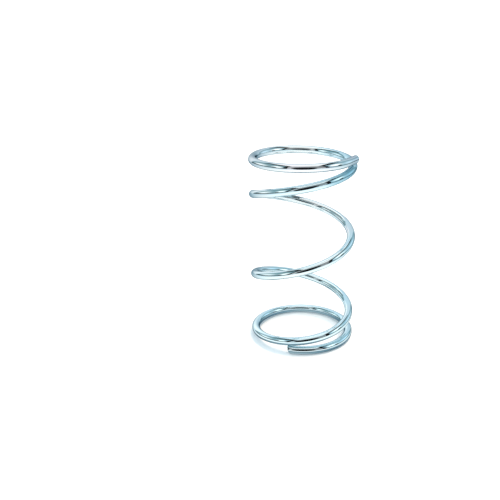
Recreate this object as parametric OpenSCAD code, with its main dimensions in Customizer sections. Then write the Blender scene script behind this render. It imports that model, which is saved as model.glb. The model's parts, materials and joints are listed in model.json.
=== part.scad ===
// Compression coil spring for a shock absorber.
// One length of round wire, coiled cold to the right hand: a closed turn at each end, open turns
// between them. The ends are sheared and left unground. The coil's axis is +Z, and the origin is
// the point on that axis level with the underside of the lower closed turn.

/* [Wire] */
// Diameter of the round wire
wire_d = 2.5; // [1.8:0.1:3]
// Radius that shearing leaves round the rim of each wire end
end_round = 0.3; // [0.1:0.05:0.5]
// Angle by which each sheared face leans back from its upper edge
shear_lean = 20; // [0:1:30]

/* [Coil] */
// Outside diameter of the coil
outer_d = 32; // [26:0.5:40]
// Free length, from the underside of the lower turn to the top of the upper turn
free_length = 58; // [48:1:75]
// Turns of wire from one sheared end to the other
total_turns = 4.27; // [4:0.01:5.5]
// Direction of the lower wire end seen from above, counted from +X
start_angle = 250; // [0:1:359]

/* [Closed ends] */
// Turns over which the pitch grows from nothing to its full value
lead_turns = 1; // [0.7:0.05:1.3]
// Upright clearance where the next turn passes over a wire end
tip_gap = 0.05; // [0.05:0.05:0.3]
// Length of straight wire at the upper end, which leaves the coil there and stands out of it
tip_run = 5; // [0:0.5:8]

/* [Hidden] */

// Fineness of the swept surface
rings_per_turn = 60;
sides = 20;
round_steps = 3;
// The evenly spaced rings start this many places in from each end, clear of the leaning face
face_rings = 2;

wire_r = wire_d / 2;
mean_r = outer_d / 2 - wire_r;
turn_length = 2 * PI * mean_r;
rise = free_length - wire_d;
tip_turns = tip_run / turn_length;

// From each end the wire lies flat for flat_turns, then its pitch grows evenly over lead_turns.
// After one whole turn it has climbed over its own end, which fixes flat_turns:
//   pitch * reach^2 / (2 * lead_turns) = end_climb, where reach = 1 - flat_turns
//   pitch * (total_turns - 2 * flat_turns - lead_turns) = rise
// The two together are a quadratic in reach, and this is its positive root.
end_climb = wire_d + tip_gap;
lead_ratio = 2 * lead_turns * end_climb / rise;
reach = lead_ratio + sqrt(pow(lead_ratio, 2) + lead_ratio * (total_turns - 2 - lead_turns));
flat_turns = 1 - reach;
pitch = rise / (total_turns - 2 * flat_turns - lead_turns);

// Height that the wire gains over its first turns from either end
function climb(turns) =
    turns <= flat_turns ? 0 :
    turns <= flat_turns + lead_turns ? pitch * pow(turns - flat_turns, 2) / (2 * lead_turns) :
    pitch * (turns - flat_turns - lead_turns / 2);

// Height of the wire's centre, with the upper half the lower one turned over
function centre_z(turns) =
    wire_r + (turns < total_turns / 2 ? climb(turns) : rise - climb(total_turns - turns));

// Angle at which the wire climbs
function climb_angle(turns) =
    let (from_end = min(turns, total_turns - turns))
    let (share = min(max((from_end - flat_turns) / lead_turns, 0), 1))
    atan2(share * pitch, turn_length);

// The stretch of the wire that is bent: past it the wire runs on straight to its upper end
function bent(turns) = min(turns, total_turns - tip_turns);

// Ring of points round the wire: its place in turns, its radius, and the lean of its plane
function ring(turns, radius, lean) =
    let (angle = start_angle + 360 * bent(turns))
    let (straight = (turns - bent(turns)) * turn_length)
    let (steep = climb_angle(turns))
    let (outward = [cos(angle), sin(angle), 0])
    let (onward = [-sin(angle) * cos(steep), cos(angle) * cos(steep), sin(steep)])
    let (upward = [sin(angle) * sin(steep), -cos(angle) * sin(steep), cos(steep)])
    let (centre = mean_r * outward + straight * onward + [0, 0, centre_z(turns)])
    [for (side = [0:sides - 1])
        let (turned = 360 * side / sides)
        let (across = radius * cos(turned), lift = radius * sin(turned))
        centre + across * outward + lift * upward + (wire_r - lift) * tan(lean) * onward];

// Rounded rim of a sheared end: place along the wire and radius at one step of the rounding
function rim_depth(step) = end_round * (1 - cos(90 * step / round_steps));
function rim_radius(step) = wire_r - end_round * (1 - sin(90 * step / round_steps));

// Round wire swept along the coil, closed by the two sheared faces
module coil_spring() {
    ring_count = round(rings_per_turn * total_turns);
    rings = [
        for (step = [0:round_steps])
            ring(rim_depth(step) / turn_length, rim_radius(step), shear_lean),
        for (i = [face_rings:ring_count - face_rings])
            ring(total_turns * i / ring_count, wire_r, 0),
        for (step = [round_steps:-1:0])
            ring(total_turns - rim_depth(step) / turn_length, rim_radius(step), -shear_lean),
    ];
    last = len(rings) - 1;
    lower_face = [for (side = [0:sides - 1]) side];
    upper_face = [for (side = [sides - 1:-1:0]) last * sides + side];
    wall = [
        for (i = [0:last - 1], side = [0:sides - 1])
            let (next = (side + 1) % sides)
            let (near = i * sides, far = near + sides)
            each [[near + side, far + next, near + next], [near + side, far + side, far + next]],
    ];
    color([0.74, 0.8, 0.85])
        polyhedron([for (points = rings) each points], [lower_face, each wall, upper_face]);
}

coil_spring();
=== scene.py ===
"""A shock spring: one zinc plated wire, coiled cold, standing on a white floor in soft light."""
import json
import math

import bpy
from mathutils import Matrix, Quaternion, Vector


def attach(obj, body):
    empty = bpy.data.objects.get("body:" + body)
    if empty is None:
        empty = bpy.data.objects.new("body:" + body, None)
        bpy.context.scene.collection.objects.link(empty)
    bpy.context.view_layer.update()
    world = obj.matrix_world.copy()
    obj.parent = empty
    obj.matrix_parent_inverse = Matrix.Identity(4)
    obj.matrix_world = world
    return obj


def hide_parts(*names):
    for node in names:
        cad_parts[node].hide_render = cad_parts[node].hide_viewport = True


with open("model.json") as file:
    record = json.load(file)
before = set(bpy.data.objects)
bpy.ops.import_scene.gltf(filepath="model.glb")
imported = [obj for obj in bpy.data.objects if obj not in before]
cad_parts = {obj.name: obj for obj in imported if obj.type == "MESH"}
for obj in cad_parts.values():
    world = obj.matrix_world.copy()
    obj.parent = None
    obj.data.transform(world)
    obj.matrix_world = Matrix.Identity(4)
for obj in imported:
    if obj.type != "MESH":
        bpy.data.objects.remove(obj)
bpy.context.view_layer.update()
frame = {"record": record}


# Spring wire
# The spring is one length of round spring steel wire, coiled cold to the right hand on a mandrel.
# Its ends are sheared off and left unground, so that each lies closed against the turn beside it.
# After coiling the whole wire is plated with bright zinc and dipped in a clear blue passivate.
mounts = {mount["name"]: mount for mount in frame["record"]["mounts"]}
coil_outer_radius = mounts["lower_seat"]["dims"]["r_mm"] / 1000
coil_bore_radius = mounts["coil_bore"]["dims"]["r_mm"] / 1000
free_length = mounts["upper_seat"]["pos_m"][2]

wire_radius = (coil_outer_radius - coil_bore_radius) / 2
coil_radius = coil_outer_radius - wire_radius
turn_length = 2 * math.pi * coil_radius
rise = free_length - 2 * wire_radius

total_turns = 4.27
start_angle = math.radians(250)  # of the lower end, seen from above
lead_turns = 1.0        # turns over which the pitch grows from nothing to its full value
tip_gap = 0.00005       # clearance where the next turn passes over a wire end
tip_run = 0.005         # straight wire at the upper end, which stands out of the coil
wire_sides = 48
wire_rings = 960

end_round = 0.0003      # radius round the rim of a sheared end
end_rings = 6           # rings that turn that rim
face_rings = 8          # rings across the sheared face
shear_lean = math.radians(20)    # by which a sheared face leans back from its upper edge
lean_rings = 8.0        # rings along the wire over which the lean dies out
break_depth = 0.00008   # relief of the half that tears
break_grain = 2400.0    # lumps in a metre of it
break_edge = 0.0004     # height above and below the middle over which the tear sets in
break_rim = 0.85        # share of the radius inside which the tear is at its full depth

shade_turns = 3.24       # turns from the lower end to the middle of a painted shade
shade_reach = 0.45       # turns to each side of there over which it fades out
shade_core = 0.08        # turns to each side of there over which it is darkest

# After one turn the wire has climbed over its own end. That and the free length fix how much of
# each closed turn lies flat, and the pitch of the open turns.
end_climb = 2 * wire_radius + tip_gap
lead_ratio = 2 * lead_turns * end_climb / rise
flat_turns = 1 - lead_ratio - math.sqrt(
    lead_ratio ** 2 + lead_ratio * (total_turns - 2 - lead_turns))
pitch = rise / (total_turns - 2 * flat_turns - lead_turns)


def feed(tree, socket, value):
    """Link a node's output to a socket, or set the socket to a plain value."""
    if isinstance(value, bpy.types.NodeSocket):
        tree.links.new(value, socket)
    else:
        socket.default_value = value


def put(tree, kind, inputs=None, **options):
    """Add a node with its options, feed its named inputs, and give the node back."""
    node = tree.nodes.new(kind)
    for option, value in options.items():
        setattr(node, option, value)
    for name, value in (inputs or {}).items():
        feed(tree, node.inputs[name], value)
    return node


def maths(tree, operation, *terms):
    """One step of arithmetic on fields or numbers."""
    node = put(tree, "ShaderNodeMath", operation=operation)
    for socket, term in zip(node.inputs, terms):
        feed(tree, socket, term)
    return node.outputs[0]


def ramp(tree, value, low, high, to_low=0.0, to_high=1.0):
    """Value carried from the range low to high onto another range, eased at both ends."""
    node = put(tree, "ShaderNodeMapRange", {
        "Value": value, "From Min": low, "From Max": high, "To Min": to_low, "To Max": to_high},
        interpolation_type="SMOOTHSTEP")
    return node.outputs["Result"]


def bent_rod_tree():
    """Node tree that takes a straight round rod and bends it into the coil."""
    tree = bpy.data.node_groups.new("Bend a rod into a coil", "GeometryNodeTree")
    tree.interface.new_socket("Geometry", in_out="OUTPUT", socket_type="NodeSocketGeometry")
    for name in ("Sides", "Rings", "Rim rings", "Face rings"):
        tree.interface.new_socket(name, in_out="INPUT", socket_type="NodeSocketInt")
    for name in ("Wire radius", "Coil radius", "Rise", "Turns", "Start angle", "Flat turns",
                 "Lead turns", "Pitch", "Straight run", "Rim radius", "Shear lean",
                 "Break depth", "Break seed"):
        tree.interface.new_socket(name, in_out="INPUT", socket_type="NodeSocketFloat")
    tree.interface.new_socket("Finish", in_out="INPUT", socket_type="NodeSocketMaterial")
    size = put(tree, "NodeGroupInput").outputs

    def do(operation, *terms):
        return maths(tree, operation, *terms)

    # The straight rod: unit radius, and one unit of length for each ring, with its middle at zero.
    rod = put(tree, "GeometryNodeMeshCylinder", {
        "Vertices": size["Sides"], "Side Segments": size["Rings"],
        "Fill Segments": size["Face rings"], "Radius": 1.0, "Depth": size["Rings"]},
        fill_type="TRIANGLE_FAN")
    place = put(tree, "ShaderNodeSeparateXYZ", {
        "Vector": put(tree, "GeometryNodeInputPosition").outputs[0]}).outputs
    half_rings = do("DIVIDE", size["Rings"], 2.0)
    from_end = do("SUBTRACT", half_rings, do("ABSOLUTE", place["Z"]))
    upper_half = do("GREATER_THAN", place["Z"], 0.0)
    toward_rim = do("SQRT", do(
        "ADD", do("POWER", place["X"], 2.0), do("POWER", place["Y"], 2.0)))

    # The first rings round off the rim of the sheared end, and the rest are evenly spaced.
    rim_share = do("MINIMUM", do("DIVIDE", from_end, size["Rim rings"]), 1.0)
    rounding = do("MULTIPLY", rim_share, math.pi / 2)
    inset = do("MULTIPLY", size["Rim radius"], do("SUBTRACT", 1.0, do("SINE", rounding)))
    rim_depth = do("MULTIPLY", size["Rim radius"], do("SUBTRACT", 1.0, do("COSINE", rounding)))
    radius = do("SUBTRACT", size["Wire radius"], inset)
    turn = do("MULTIPLY", size["Coil radius"], 2 * math.pi)
    length = do("MULTIPLY", turn, size["Turns"])
    spacing = do("DIVIDE", do("SUBTRACT", do("DIVIDE", length, 2.0), size["Rim radius"]),
                 do("SUBTRACT", half_rings, size["Rim rings"]))
    past_rim = do("MAXIMUM", do("SUBTRACT", from_end, size["Rim rings"]), 0.0)
    depth = do("ADD", rim_depth, do("MULTIPLY", past_rim, spacing))
    across = do("MULTIPLY", place["X"], radius)
    upright = do("MULTIPLY", place["Y"], do("MULTIPLY", radius, -1.0))
    turns_in = do("DIVIDE", depth, turn)
    turns = put(tree, "ShaderNodeMix", {
        "Factor": upper_half, "A": turns_in,
        "B": do("SUBTRACT", size["Turns"], turns_in)}).outputs["Result"]

    # Shearing leaves each face leaning, and broken rough over the half that tears away last.
    on_face = do("MULTIPLY", ramp(tree, from_end, 1.0, 0.0),
                 ramp(tree, toward_rim, 1.0, break_rim))
    torn = put(tree, "ShaderNodeTexNoise", {
        "Vector": put(tree, "ShaderNodeCombineXYZ", {
            "X": across, "Y": upright, "Z": upper_half}).outputs[0],
        "W": size["Break seed"], "Scale": break_grain, "Detail": 4.0, "Roughness": 0.6},
        noise_dimensions="4D").outputs["Fac"]
    torn_half = ramp(tree, upright, break_edge, -break_edge)
    relief = do("MULTIPLY", do("MULTIPLY", do("MULTIPLY", torn, torn_half), on_face),
                size["Break depth"])
    below_edge = do("SUBTRACT", size["Wire radius"], upright)
    lean = do("MULTIPLY", do("MULTIPLY", below_edge, do("TANGENT", size["Shear lean"])),
              ramp(tree, past_rim, lean_rings, 0.0))
    inward = do("ADD", lean, relief)
    facing = do("SUBTRACT", 1.0, do("MULTIPLY", upper_half, 2.0))
    shift = do("MULTIPLY", inward, facing)

    # The coil's law: flat, then a pitch that grows evenly, then an even pitch.
    past_flat = do("SUBTRACT", turns_in, size["Flat turns"])
    share = put(tree, "ShaderNodeClamp", {
        "Value": do("DIVIDE", past_flat, size["Lead turns"])}).outputs[0]
    open_turns = do("MAXIMUM", do("SUBTRACT", past_flat, size["Lead turns"]), 0.0)
    growing = do("MULTIPLY", do("MULTIPLY", share, share), do("DIVIDE", size["Lead turns"], 2.0))
    climb = do("MULTIPLY", size["Pitch"], do("ADD", growing, open_turns))
    height = put(tree, "ShaderNodeMix", {
        "Factor": upper_half, "A": climb,
        "B": do("SUBTRACT", size["Rise"], climb)}).outputs["Result"]
    steepness = do("ARCTAN2", do("MULTIPLY", share, size["Pitch"]), turn)

    # The last of the wire stays straight where it leaves the coil.
    run_turns = do("DIVIDE", size["Straight run"], turn)
    bent = do("MINIMUM", turns, do("SUBTRACT", size["Turns"], run_turns))
    angle = do("ADD", size["Start angle"], do("MULTIPLY", bent, 2 * math.pi))
    straight = do("MULTIPLY", do("SUBTRACT", turns, bent), turn)

    # A ring is tipped to the climb, moved out to the coil's radius, and swung round the axis.
    ring = put(tree, "ShaderNodeCombineXYZ", {"X": across, "Y": shift, "Z": upright}).outputs[0]
    tipped = put(tree, "ShaderNodeVectorRotate", {
        "Vector": ring, "Angle": steepness}, rotation_type="X_AXIS").outputs[0]
    moved = put(tree, "ShaderNodeVectorMath", operation="ADD")
    feed(tree, moved.inputs[0], tipped)
    feed(tree, moved.inputs[1], put(tree, "ShaderNodeCombineXYZ", {
        "X": size["Coil radius"], "Y": straight,
        "Z": do("ADD", height, size["Wire radius"])}).outputs[0])
    swung = put(tree, "ShaderNodeVectorRotate", {
        "Vector": moved.outputs[0], "Angle": angle}, rotation_type="Z_AXIS").outputs[0]

    # The straight rod's own measures stay on the wire, so that its finish follows the wire round.
    shape = rod.outputs["Mesh"]
    for name, kind, value in (
            ("wire_place", "FLOAT_VECTOR", put(tree, "ShaderNodeCombineXYZ", {
                "X": do("MULTIPLY", turns, turn), "Y": across, "Z": upright}).outputs[0]),
            ("cut_face", "FLOAT", ramp(tree, from_end, 3.0, 1.0))):
        store = put(tree, "GeometryNodeStoreNamedAttribute", {
            "Geometry": shape, "Name": name, "Value": value}, data_type=kind, domain="POINT")
        shape = store.outputs["Geometry"]
    coil = put(tree, "GeometryNodeSetPosition", {"Geometry": shape, "Position": swung})
    smooth = put(tree, "GeometryNodeSetShadeSmooth", {"Geometry": coil.outputs[0]})
    real = put(tree, "GeometryNodeRealizeInstances", {"Geometry": smooth.outputs[0]})
    finished = put(tree, "GeometryNodeSetMaterial", {
        "Geometry": real.outputs[0], "Material": size["Finish"]})
    put(tree, "NodeGroupOutput", {"Geometry": finished.outputs[0]})
    return tree


# Colours of the plate from a thin to a thick passivate and on to a dark teal of painted shade;
# then of its rim, where it is seen along the surface, and of the plate on a sheared face.
plate_and_shade_colours = (
    (0.15, (0.80, 0.79, 0.84, 1)), (0.38, (0.76, 0.82, 0.83, 1)), (0.58, (0.71, 0.84, 0.87, 1)),
    (0.80, (0.68, 0.84, 0.89, 1)), (0.98, (0.40, 0.62, 0.70, 1)))
rim_of_plate = (0.30, 0.36, 0.40, 1)
dull_plate = (0.36, 0.39, 0.41, 1)
plate_roughness = (0.02, 0.05)
face_dulling, face_roughness = 0.6, 0.3

# Grain in lumps to a metre, along the wire and across it, and the depth of what shows as relief.
die_line_grain, die_line_depth = (60.0, 7000.0, 7000.0), 0.00002
skin_grain, skin_depth = 2600.0, 0.00004
drift_grain = 90.0
foot_shade_tint = 0.18        # painted shade: by which the tint is lighter at the top and bluer at the foot
end_shade_strength = 0.56      # painted shade: by which the tint is darker and bluer there


def zinc_plate():
    """Bright zinc with a clear blue passivate, near mirror, from silver to pale blue."""
    finish = bpy.data.materials.new("zinc_plate")
    finish.use_nodes = True
    tree = finish.node_tree
    shader = tree.nodes["Principled BSDF"]
    shader.inputs["Metallic"].default_value = 1.0
    shader.inputs["Specular Tint"].default_value = rim_of_plate
    place = put(tree, "ShaderNodeAttribute", attribute_name="wire_place").outputs["Vector"]
    cut = put(tree, "ShaderNodeAttribute", attribute_name="cut_face").outputs["Fac"]

    # Drawing the wire through its die leaves fine lines that run along it.
    die_lines = put(tree, "ShaderNodeTexNoise", {
        "Vector": put(tree, "ShaderNodeMapping", {
            "Vector": place, "Scale": die_line_grain}).outputs[0],
        "Scale": 1.0, "Detail": 3.0, "Roughness": 0.6}).outputs["Fac"]
    # The plate has a faint skin, and the passivate on it varies in thickness along the wire.
    skin = put(tree, "ShaderNodeTexNoise", {
        "Vector": place, "Scale": skin_grain, "Detail": 2.0}).outputs["Fac"]
    drift = put(tree, "ShaderNodeTexNoise", {
        "Vector": place, "Scale": drift_grain, "Detail": 3.0, "Roughness": 0.6}).outputs["Fac"]
    # Painted shade: bluer at the lower turns, which mirror shaded floor, lighter at the top.
    height = put(tree, "ShaderNodeSeparateXYZ", {
        "Vector": put(tree, "ShaderNodeTexCoord").outputs["Object"]}).outputs["Z"]
    drift_and_foot_shade = maths(tree, "ADD", drift, ramp(
        tree, height, free_length, 0.0, -foot_shade_tint, foot_shade_tint))
    # Painted shade also darkens the turn that lies close below the upper wire end.
    along = put(tree, "ShaderNodeSeparateXYZ", {"Vector": place}).outputs["X"]
    away_from_shade = maths(tree, "ABSOLUTE", maths(tree, "SUBTRACT", along, shade_turns * turn_length))
    under_end_shade = ramp(tree, away_from_shade, shade_reach * turn_length, shade_core * turn_length,
                  0.0, end_shade_strength)
    tint = put(tree, "ShaderNodeValToRGB", {"Fac": maths(tree, "ADD", drift_and_foot_shade, under_end_shade)})
    stops = tint.color_ramp.elements
    stops[0].position, stops[0].color = plate_and_shade_colours[0]
    stops[1].position, stops[1].color = plate_and_shade_colours[-1]
    for position, colour in plate_and_shade_colours[1:-1]:
        stops.new(position).color = colour

    # On a sheared face the plate is darker and rougher.
    dulled = put(tree, "ShaderNodeMix", {
        "Factor": maths(tree, "MULTIPLY", cut, face_dulling), "A": tint.outputs[0],
        "B": dull_plate}, data_type="RGBA")
    tree.links.new(dulled.outputs["Result"], shader.inputs["Base Color"])
    rough = maths(tree, "ADD", ramp(tree, skin, 0.3, 0.8, *plate_roughness),
                  maths(tree, "MULTIPLY", cut, face_roughness))
    tree.links.new(rough, shader.inputs["Roughness"])
    lines = put(tree, "ShaderNodeBump", {
        "Height": die_lines, "Strength": 0.06, "Distance": die_line_depth})
    peel = put(tree, "ShaderNodeBump", {
        "Height": skin, "Strength": 0.08, "Distance": skin_depth, "Normal": lines.outputs[0]})
    tree.links.new(peel.outputs[0], shader.inputs["Normal"])
    return finish


spring = bpy.data.objects.new("spring_wire", bpy.data.meshes.new("spring_wire"))
bpy.context.scene.collection.objects.link(spring)
bending = spring.modifiers.new("Bending", "NODES")
bending.node_group = bent_rod_tree()
coil_sizes = {
    "Sides": wire_sides, "Rings": wire_rings, "Rim rings": end_rings, "Face rings": face_rings,
    "Wire radius": wire_radius, "Coil radius": coil_radius, "Rise": rise, "Turns": total_turns,
    "Start angle": start_angle, "Flat turns": flat_turns, "Lead turns": lead_turns,
    "Pitch": pitch, "Straight run": tip_run, "Rim radius": end_round, "Shear lean": shear_lean,
    "Break depth": break_depth, "Break seed": 7.0, "Finish": zinc_plate()}
for socket in bending.node_group.interface.items_tree:
    if socket.in_out == "INPUT":
        bending[socket.identifier] = coil_sizes[socket.name]
bpy.context.view_layer.update()
evaluation = bpy.context.evaluated_depsgraph_get()
coiled = bpy.data.meshes.new_from_object(
    spring.evaluated_get(evaluation), preserve_all_data_layers=True, depsgraph=evaluation)
spring.modifiers.clear()
spring.data = coiled
coiled.materials.pop(index=0)    # an empty slot, which the tree leaves before the finish
coiled.name = "spring_wire"
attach(spring, "root")
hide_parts("coil_spring")


# Floor
# A sheet of matt white board, far wider than the view, that the spring stands on. It is lit so
# brightly that only the soft shade close round the lowest turn shows on it.
floor_half = 3.0
floor_mesh = bpy.data.meshes.new("floor")
floor_mesh.from_pydata(
    [(-floor_half, -floor_half, 0), (floor_half, -floor_half, 0),
     (floor_half, floor_half, 0), (-floor_half, floor_half, 0)], [], [(0, 1, 2, 3)])
floor = bpy.data.objects.new("floor", floor_mesh)
bpy.context.scene.collection.objects.link(floor)
board = bpy.data.materials.new("white_board")
board.use_nodes = True
board_shader = board.node_tree.nodes["Principled BSDF"]
board_shader.inputs["Base Color"].default_value = (0.86, 0.86, 0.86, 1)
board_shader.inputs["Roughness"].default_value = 0.6
board_shader.inputs["Specular IOR Level"].default_value = 0.2
floor_mesh.materials.append(board)


# Light tent
# The spring stands in a tent of pale cloth on a dark frame, open in front for the lens, and the
# wire mirrors all of it. The tent shows nowhere else and shades nothing: the floor has its light
# from the white room round it and from one broad lamp.
tent_half, tent_height, tent_turn = 0.41, 0.74, math.radians(5)
cloth_depth = 0.004
post_width, rail_depth, rail_reach, sill_reach = 0.085, 0.11, 0.11, 0.03
stand_width, stand_depth, stand_height = 0.07, 0.01, 0.17
room_half, room_height, room_gap, room_depth = 2, 1.6, 0.49, 0.01
board_lift = 0.0001     # by which the painted board that the wire mirrors lies above the real one

lamp_patch = (1.9, 1.9, 1.85)    # the brightest cloth, with a lamp close behind it
grey = (0.06, 0.09, 0.10)
black = (0.012, 0.014, 0.016)


def tent_part(name, mesh, glow, patches=()):
    """Give a part of the tent its glow, and another to each patch on it, round or a ring."""
    piece = bpy.data.objects.new(name, mesh)
    bpy.context.scene.collection.objects.link(piece)
    cloth = bpy.data.materials.new(name)
    cloth.use_nodes = True
    tree = cloth.node_tree
    tree.nodes.clear()
    lit = glow + (1,)
    for patch in patches:
        distance = put(tree, "ShaderNodeVectorMath", operation="DISTANCE")
        feed(tree, distance.inputs[0], put(tree, "ShaderNodeTexCoord").outputs["Object"])
        feed(tree, distance.inputs[1], patch["at"])
        away = maths(tree, "ABSOLUTE", maths(
            tree, "SUBTRACT", distance.outputs["Value"], patch.get("ring", 0)))
        blend = put(tree, "ShaderNodeMix", {
            "Factor": ramp(tree, away, 0.0, patch["reach"]),
            "A": patch["glow"] + (1,), "B": lit}, data_type="RGBA")
        lit = blend.outputs["Result"]
    shine = put(tree, "ShaderNodeEmission", {"Color": lit})
    put(tree, "ShaderNodeOutputMaterial", {"Surface": shine.outputs[0]})
    mesh.materials.append(cloth)
    piece.visible_camera = False
    piece.visible_diffuse = False
    piece.visible_shadow = False


def block(name, low, high, glow, patches=()):
    """A glowing block or sheet between two opposite corners, turned with the tent."""
    turn = Quaternion((0, 0, 1), tent_turn)
    corners = [turn @ Vector((x, y, z))
               for x in (low[0], high[0]) for y in (low[1], high[1]) for z in (low[2], high[2])]
    mesh = bpy.data.meshes.new(name)
    mesh.from_pydata(corners, [], [
        (0, 1, 3, 2), (4, 6, 7, 5), (0, 4, 5, 1), (2, 3, 7, 6), (0, 2, 6, 4), (1, 5, 7, 3)])
    tent_part(name, mesh, glow, patches)


block("tent_roof", (-tent_half, -tent_half, tent_height),
      (tent_half, tent_half, tent_height + cloth_depth), glow=(1.10, 1.11, 1.12),
      patches=[dict(at=(0, tent_half, tent_height), glow=(1.5, 1.5, 1.5), reach=0.5)])
block("tent_left", (-tent_half - cloth_depth, -tent_half, 0),
      (-tent_half, tent_half, tent_height), glow=(0.24, 0.40, 0.45),
      patches=[dict(at=(-tent_half, 0.09, 0.15), glow=(1.32, 1.38, 1.40), reach=0.24),
               dict(at=(-tent_half, -0.27, 0.25), glow=lamp_patch, reach=0.19)])
block("tent_right", (tent_half, -tent_half, 0),
      (tent_half + cloth_depth, tent_half, tent_height), glow=(0.33, 0.52, 0.60),
      patches=[dict(at=(tent_half, 0.16, 0.16), glow=(0.84, 1.10, 1.26), reach=0.25),
               dict(at=(tent_half, -0.14, 0.31), glow=lamp_patch, reach=0.23)])
block("tent_back", (-tent_half, tent_half, 0),
      (tent_half, tent_half + cloth_depth, tent_height), glow=(0.74, 0.90, 1.00),
      patches=[dict(at=(-0.20, tent_half, 0.10), glow=(1.60, 1.60, 1.60), reach=0.38)])

# Through the open front the wire sees the far wall of the room: a sheet with painted light,
# brighter in a painted pool to the left.
room_at = -tent_half - room_gap
block("room", (-room_half, room_at - room_depth, 0), (room_half, room_at, room_height),
      glow=(0.34, 0.35, 0.36),
      patches=[dict(at=(-0.45, room_at, 0.45), glow=(0.85, 0.86, 0.87), reach=0.45)])

# The board as the wire mirrors it, a sheet that only the wire sees: a painted pool of light in
# front, and painted blue shade round the lowest turn.
block("board_painted_light_and_shade", (-tent_half, -tent_half, board_lift),
      (tent_half, tent_half, 2 * board_lift), glow=(0.76, 0.93, 1.02),
      patches=[dict(at=(0, -0.06, 0), glow=(1.36, 1.36, 1.34), reach=0.20),
               dict(at=(-0.001, -0.003, 0), glow=(0.17, 0.28, 0.35), reach=0.0052,
                    ring=coil_radius)])

# The frame has a post at each front corner, and a rail above and a sill below each side wall.
for side, wall, sill_height in (("left", -1, 0.09), ("right", 1, 0.06)):
    block(f"post_{side}", (wall * tent_half - post_width / 2, -tent_half - post_width / 2, 0),
          (wall * tent_half + post_width / 2, -tent_half + post_width / 2, tent_height), black)
    block(f"rail_{side}", (wall * tent_half, -tent_half, tent_height - rail_depth),
          (wall * (tent_half - rail_reach), tent_half, tent_height), black)
    block(f"sill_{side}", (wall * tent_half, -tent_half, 0),
          (wall * (tent_half - sill_reach), tent_half, sill_height), grey)
# A grey lamp stand is close to each side wall.
for side, wall, stand_at, foot in (("left", -1, -0.17, 0.0), ("right", 1, -0.12, 0.02)):
    block(f"stand_{side}", (wall * tent_half, stand_at - stand_width / 2, foot),
          (wall * (tent_half - stand_depth), stand_at + stand_width / 2, foot + stand_height),
          grey)

# The lens is a black round in front of the spring.
lens_sides = 48
lens_place, lens_half_width, lens_half_height = (0.004, -0.195, 0.092), 0.095, 0.098
lens_mesh = bpy.data.meshes.new("lens")
lens_mesh.from_pydata([
    (lens_place[0] + lens_half_width * math.cos(2 * math.pi * side / lens_sides),
     lens_place[1],
     lens_place[2] + lens_half_height * math.sin(2 * math.pi * side / lens_sides))
    for side in range(lens_sides)], [], [tuple(range(lens_sides))])
tent_part("lens", lens_mesh, black)

# The lamp hangs nearly overhead, a little to the right and behind, and casts a soft shadow.
lamp_power, lamp_breadth, lamp_colour = 2.3, math.radians(24), (1.0, 0.68, 0.46)
lamp_beam = Vector((-0.10, -0.05, -0.45))
lamp = bpy.data.lights.new("key", "SUN")
lamp.energy, lamp.angle, lamp.color = lamp_power, lamp_breadth, lamp_colour
hung_lamp = bpy.data.objects.new("key", lamp)
hung_lamp.rotation_mode = "QUATERNION"
hung_lamp.rotation_quaternion = lamp_beam.to_track_quat("-Z", "Y")
hung_lamp.visible_glossy = False
bpy.context.scene.collection.objects.link(hung_lamp)

room_colour, room_light = (0.80, 0.93, 1.0, 1), 1.48
world = bpy.data.worlds.new("white_room")
bpy.context.scene.world = world
world.use_nodes = True
background = world.node_tree.nodes["Background"].inputs
background["Color"].default_value = room_colour
background["Strength"].default_value = room_light
bpy.context.scene.view_settings.view_transform = "Standard"


# Camera
# It stands in front of the spring at a little over its height, looks down on it by 20 degrees,
# and is turned and rolled very slightly. Its lens and sensor are in millimetres.
camera_lens, camera_sensor = 43.875, 36
camera_aim, camera_distance = Vector((-0.016086, 0, 0.028207)), 0.188717
swing, drop, roll = math.radians(-2.173), math.radians(19.932), math.radians(-1.512)
sight = Vector((
    math.sin(swing) * math.cos(drop), math.cos(swing) * math.cos(drop), -math.sin(drop)))
camera = bpy.data.objects.new("camera", bpy.data.cameras.new("camera"))
camera.data.lens, camera.data.sensor_width, camera.data.clip_start = (
    camera_lens, camera_sensor, 0.01)
camera.location = camera_aim - camera_distance * sight
camera.rotation_mode = "QUATERNION"
camera.rotation_quaternion = sight.to_track_quat("-Z", "Y") @ Quaternion((0, 0, 1), roll)
bpy.context.scene.collection.objects.link(camera)
bpy.context.scene.camera = camera
